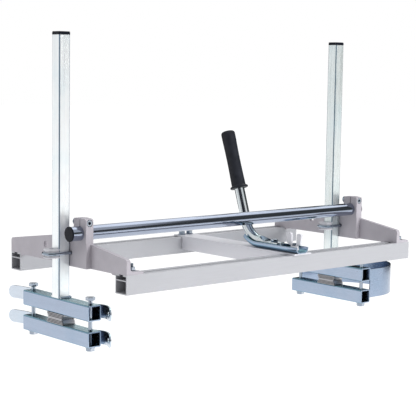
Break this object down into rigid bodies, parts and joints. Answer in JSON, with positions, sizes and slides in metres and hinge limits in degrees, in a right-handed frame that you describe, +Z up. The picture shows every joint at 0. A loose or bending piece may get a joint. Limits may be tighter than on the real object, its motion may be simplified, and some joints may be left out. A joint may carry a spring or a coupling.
{
  "type": "chainsaw mill",
  "caption": "Chainsaw mill with two slotted rails, end brackets, a round push bar, a leaning handle, height posts and a bar clamp under each end; one clamp has a rounded nose guard.",
  "frame": {"origin": "middle of the footprint at the undersides of the four jaw bolts that the mill stands on", "axes": "+X along the rails from the shoe end to the nose-guard end, +Y from the front rail to the rear rail, +Z up"},
  "size_m": [0.9555, 0.395, 0.5975],
  "materials": {
    "rail": "mill-finish extrusion",
    "casting": "bead-blasted casting",
    "bar": "polished",
    "cap": "moulded",
    "tube_zinc": "bright zinc plate",
    "jaw_zinc": "blue zinc plate",
    "strip_zinc": "blue zinc plate",
    "pad_steel": "machined teeth",
    "fastener": "zinc plate",
    "cross_alloy": "satin",
    "grip_rubber": "moulded"
  },
  "bodies": {
    "frame": {"front_rail": "rail", "rear_rail": "rail", "push_bar": "bar", "push_bar_caps": "cap"},
    "left_bracket_set": {"left_bracket": "casting", "left_foot_bolts": "fastener", "left_foot_washers": "fastener", "left_foot_nuts": "fastener", "left_bar_screw": "fastener", "left_bar_nut": "fastener", "left_u_bolt": "fastener", "left_saddle": "cross_alloy", "left_u_bolt_washers": "fastener", "left_u_bolt_nuts": "fastener"},
    "left_post_set": {"left_post": "tube_zinc", "left_post_cap": "cap", "left_weld": "tube_zinc", "left_upper_jaw": "jaw_zinc", "left_upper_pad": "pad_steel", "left_upper_shoe": "strip_zinc"},
    "left_jaw_set": {"left_lower_jaw": "jaw_zinc", "left_lower_pad": "pad_steel", "left_jaw_bolts": "fastener", "left_jaw_washers": "fastener", "left_jaw_nuts": "fastener", "left_lower_shoe": "strip_zinc"},
    "right_bracket_set": {"right_bracket": "casting", "right_foot_bolts": "fastener", "right_foot_washers": "fastener", "right_foot_nuts": "fastener", "right_bar_screw": "fastener", "right_bar_nut": "fastener", "right_u_bolt": "fastener", "right_saddle": "cross_alloy", "right_u_bolt_washers": "fastener", "right_u_bolt_nuts": "fastener"},
    "right_post_set": {"right_post": "tube_zinc", "right_post_cap": "cap", "right_weld": "tube_zinc", "right_upper_jaw": "jaw_zinc", "right_upper_pad": "pad_steel", "nose_guard": "strip_zinc"},
    "right_jaw_set": {"right_lower_jaw": "jaw_zinc", "right_lower_pad": "pad_steel", "right_jaw_bolts": "fastener", "right_jaw_washers": "fastener", "right_jaw_nuts": "fastener"},
    "cross_set": {"cross_channel": "cross_alloy", "cross_strap": "cross_alloy", "cross_bolts": "fastener", "cross_washers": "fastener", "cross_nuts": "fastener", "handle_cradle": "jaw_zinc", "handle_tube": "tube_zinc", "handle_grip": "grip_rubber", "handle_bolt": "fastener", "handle_spacer": "fastener", "handle_nut": "fastener", "wing_bolt": "fastener"},
    "wing_nut": {"wing_nut": "cross_alloy"}
  },
  "joints": [
    {"name": "left_bracket_slide", "type": "slide", "parent": "frame", "child": "left_bracket_set", "axis": [1, 0, 0], "range_m": [0, 0.2]},
    {"name": "right_bracket_slide", "type": "slide", "parent": "frame", "child": "right_bracket_set", "axis": [1, 0, 0], "range_m": [-0.2, 0]},
    {"name": "cross_slide", "type": "slide", "parent": "frame", "child": "cross_set", "axis": [1, 0, 0], "range_m": [-0.12, 0.1]},
    {"name": "left_post_slide", "type": "slide", "parent": "left_bracket_set", "child": "left_post_set", "axis": [0, 0, 1], "range_m": [-0.36, 0.02]},
    {"name": "right_post_slide", "type": "slide", "parent": "right_bracket_set", "child": "right_post_set", "axis": [0, 0, 1], "range_m": [-0.36, 0.02]},
    {"name": "left_jaw_slide", "type": "slide", "parent": "left_post_set", "child": "left_jaw_set", "axis": [0, 0, 1], "range_m": [-0.0079, 0]},
    {"name": "right_jaw_slide", "type": "slide", "parent": "right_post_set", "child": "right_jaw_set", "axis": [0, 0, 1], "range_m": [-0.0079, 0]},
    {"name": "wing_nut_turn", "type": "hinge", "parent": "cross_set", "child": "wing_nut", "pos_m": [0.0378, -0.1745, 0.1605], "axis": [0, 0, 1], "continuous": true}
  ]
}
